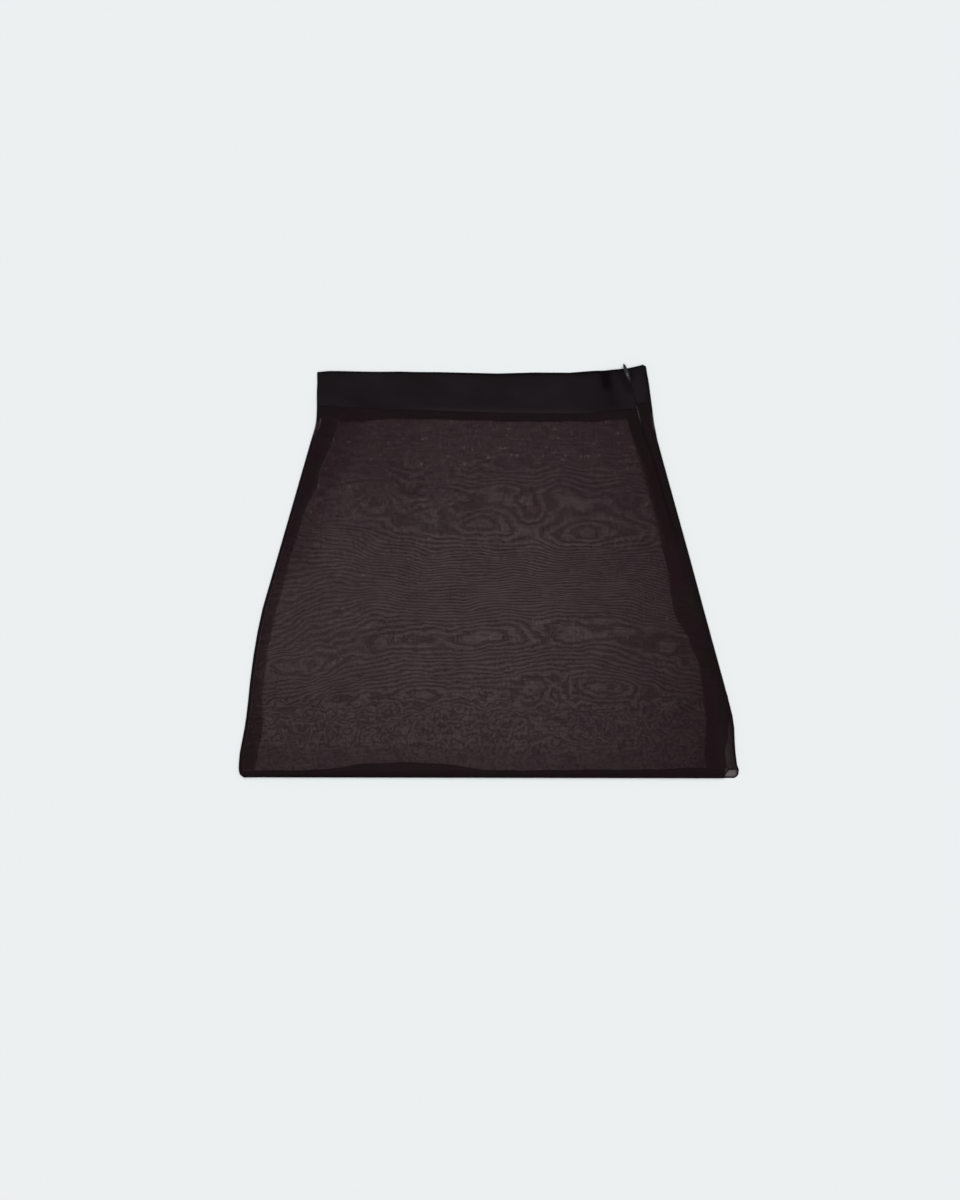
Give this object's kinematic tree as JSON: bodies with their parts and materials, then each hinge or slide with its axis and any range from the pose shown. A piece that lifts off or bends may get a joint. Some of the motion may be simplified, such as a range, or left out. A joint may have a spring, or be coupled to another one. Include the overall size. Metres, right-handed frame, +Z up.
{
  "type": "chiffon mini skirt",
  "caption": "Sheer A-line mini skirt with an opaque waistband and an invisible side zip, laid flat with its front up.",
  "frame": {"origin": "on the surface the skirt lies on, at the middle of its outline", "axes": "+X to the viewer's right across the skirt, +Y from the hem towards the waistband, +Z up from the surface"},
  "size_m": [0.4996, 0.414, 0.0078],
  "materials": {
    "chiffon": "sheer crepe chiffon, matt, two layers watered where they overlap",
    "turned_chiffon": "the same chiffon turned and overlocked, seen through the outer layer",
    "waistband_cloth": "opaque dull crepe",
    "zip_tape": "knitted zip tape",
    "zip_nylon": "nylon coil",
    "zip_enamel": "dark enamelled metal, worn to a soft gloss"
  },
  "bodies": {
    "skirt": {"front_panel": "chiffon", "back_panel": "chiffon", "front_hem": "turned_chiffon", "back_hem": "turned_chiffon", "front_waist_allowance": "turned_chiffon", "back_waist_allowance": "turned_chiffon", "left_seam_allowance": "turned_chiffon", "right_seam_allowance": "turned_chiffon", "back_zip_allowance": "turned_chiffon", "waistband": "waistband_cloth", "zip_tape": "zip_tape", "zip_coil": "zip_nylon", "zip_slider": "zip_enamel"},
    "pull_tab": {"zip_pull": "zip_enamel"}
  },
  "joints": [
    {"name": "pull_swing", "type": "hinge", "parent": "skirt", "child": "pull_tab", "pos_m": [0.14016, 0.191, 0.00617], "axis": [0.9397, 0.342, 0], "range_deg": [0, 165]}
  ]
}
